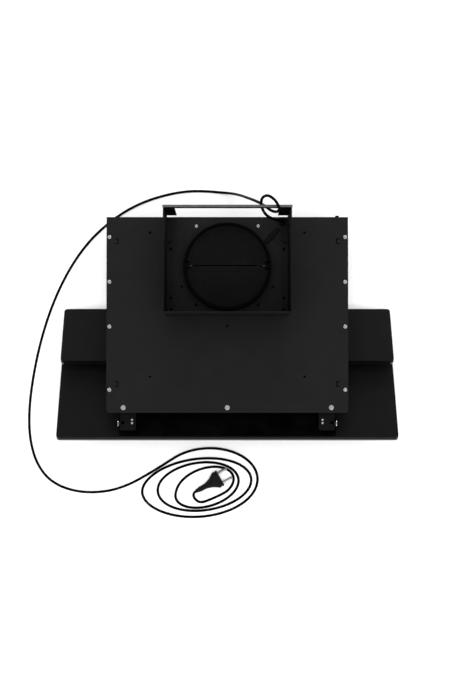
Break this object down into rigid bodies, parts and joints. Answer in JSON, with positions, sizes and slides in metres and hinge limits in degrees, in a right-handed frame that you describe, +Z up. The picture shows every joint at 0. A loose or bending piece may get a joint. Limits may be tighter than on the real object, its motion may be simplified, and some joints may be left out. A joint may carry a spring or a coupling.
{
  "type": "inclined cooker hood",
  "caption": "Wall-mounted inclined kitchen cooker hood with black glass panels, chimney frame, round duct outlet with backdraft flaps, and a mains lead.",
  "frame": {"origin": "on the wall plane, midway between the two wall holes of the rail at the back of the chimney frame", "axes": "+X right seen from above with the wall at the top, +Y into the wall, +Z up"},
  "size_m": [0.6704, 0.6135, 0.3982],
  "materials": {
    "body_black": "satin black powder coat on sheet steel, fine orange peel",
    "frame_black": "matt black powder coat on sheet steel",
    "tray_black": "satin black paint on a pressed steel tray",
    "carrier_black": "deep matt black coated steel",
    "black_glass": "tempered glass lacquered black behind, polished edge",
    "galvanised_steel": "galvanised sheet with a faint spangle",
    "zinc_screw": "bright zinc plate",
    "black_screw": "black zinc plate",
    "bright_steel": "turned bright steel",
    "black_rubber": "moulded black rubber",
    "collar_plastic": "moulded black plastic",
    "flap_plastic": "moulded black plastic, fine texture",
    "black_plastic": "moulded black plastic",
    "filter_aluminium": "anodised aluminium frame",
    "filter_mesh": "layers of expanded aluminium mesh",
    "fascia_black": "gloss black plastic",
    "button_black": "gloss black push-button",
    "lamp_ring": "chromed lamp ring",
    "lamp_lens": "frosted glass lens",
    "grey_plastic": "moulded grey flame-retardant plastic",
    "white_plastic": "moulded white plastic",
    "fan_plastic": "moulded black fan plastic",
    "motor_iron": "varnished motor body",
    "cord_black": "black PVC sheath",
    "plug_black": "moulded black PVC",
    "pin_nickel": "nickel-plated brass pin"
  },
  "bodies": {
    "hood": {"black_screws": "black_screw", "blower_housing": "grey_plastic", "bottom_panel": "body_black", "cable_channel": "black_plastic", "cable_clip": "black_plastic", "cable_gland": "black_rubber", "catch_magnets": "bright_steel", "catch_posts": "black_plastic", "chimney_frame": "frame_black", "collar_screws": "zinc_screw", "control_fascia": "fascia_black", "cord_coil": "cord_black", "cord_lead": "cord_black", "duct_collar": "collar_plastic", "filter_catches": "galvanised_steel", "filter_frame_left": "filter_aluminium", "filter_frame_right": "filter_aluminium", "filter_mesh_left": "filter_mesh", "filter_mesh_right": "filter_mesh", "front_screws": "zinc_screw", "hinge_bracket_left": "tray_black", "hinge_bracket_right": "tray_black", "hinge_pins": "bright_steel", "hinge_screws": "zinc_screw", "lamp_driver": "white_plastic", "lamp_housings": "lamp_ring", "lamp_lenses": "lamp_lens", "motor": "motor_iron", "motor_bracket": "galvanised_steel", "motor_capacitor": "white_plastic", "plug_body": "plug_black", "plug_pins": "pin_nickel", "rail_bolts": "black_screw", "rear_glass": "black_glass", "rear_panel": "body_black", "rear_panel_spacers": "black_plastic", "rear_tray": "tray_black", "side_panel_left": "body_black", "side_panel_right": "body_black", "side_screws": "zinc_screw", "switch_block": "grey_plastic", "terminal_box": "grey_plastic", "top_panel": "body_black", "underside_panel": "body_black", "wall_buffers": "black_rubber", "wall_rail": "galvanised_steel"},
    "front_panel": {"front_tray": "tray_black", "front_glass": "black_glass", "hinge_carrier": "carrier_black"},
    "rear_flap": {"flap_rear": "flap_plastic"},
    "front_flap": {"flap_front": "flap_plastic"},
    "fan": {"fan_wheel": "fan_plastic", "motor_shaft": "bright_steel"},
    "filter_latch_left": {"filter_latch_left": "black_plastic"},
    "filter_latch_right": {"filter_latch_right": "black_plastic"},
    "button_1": {"button_1": "button_black"},
    "button_2": {"button_2": "button_black"},
    "button_3": {"button_3": "button_black"},
    "button_4": {"button_4": "button_black"},
    "button_5": {"button_5": "button_black"}
  },
  "joints": [
    {"name": "front_panel_hinge", "type": "hinge", "parent": "hood", "child": "front_panel", "pos_m": [0, -0.36358, -0.17849], "axis": [-1, 0, 0], "range_deg": [0, 80]},
    {"name": "rear_flap_hinge", "type": "hinge", "parent": "hood", "child": "rear_flap", "pos_m": [0, -0.088, -0.145], "axis": [1, 0, 0], "range_deg": [0, 80]},
    {"name": "front_flap_hinge", "type": "hinge", "parent": "hood", "child": "front_flap", "pos_m": [0, -0.0934, -0.145], "axis": [-1, 0, 0], "range_deg": [0, 80]},
    {"name": "fan_spin", "type": "hinge", "parent": "hood", "child": "fan", "pos_m": [0, -0.1, -0.264], "axis": [1, 0, 0], "continuous": true},
    {"name": "button_1_press", "type": "slide", "parent": "hood", "child": "button_1", "axis": [0, 0.6428, 0.766], "range_m": [0, 0.003], "stiffness_N_per_m": 250, "springref_m": -0.002},
    {"name": "button_2_press", "type": "slide", "parent": "hood", "child": "button_2", "axis": [0, 0.6428, 0.766], "range_m": [0, 0.003], "stiffness_N_per_m": 250, "springref_m": -0.002},
    {"name": "button_3_press", "type": "slide", "parent": "hood", "child": "button_3", "axis": [0, 0.6428, 0.766], "range_m": [0, 0.003], "stiffness_N_per_m": 250, "springref_m": -0.002},
    {"name": "button_4_press", "type": "slide", "parent": "hood", "child": "button_4", "axis": [0, 0.6428, 0.766], "range_m": [0, 0.003], "stiffness_N_per_m": 250, "springref_m": -0.002},
    {"name": "button_5_press", "type": "slide", "parent": "hood", "child": "button_5", "axis": [0, 0.6428, 0.766], "range_m": [0, 0.003], "stiffness_N_per_m": 250, "springref_m": -0.002},
    {"name": "filter_latch_left_slide", "type": "slide", "parent": "hood", "child": "filter_latch_left", "axis": [0, 0.766, -0.6428], "range_m": [0, 0.005], "stiffness_N_per_m": 200, "springref_m": -0.003},
    {"name": "filter_latch_right_slide", "type": "slide", "parent": "hood", "child": "filter_latch_right", "axis": [0, 0.766, -0.6428], "range_m": [0, 0.005], "stiffness_N_per_m": 200, "springref_m": -0.003}
  ]
}
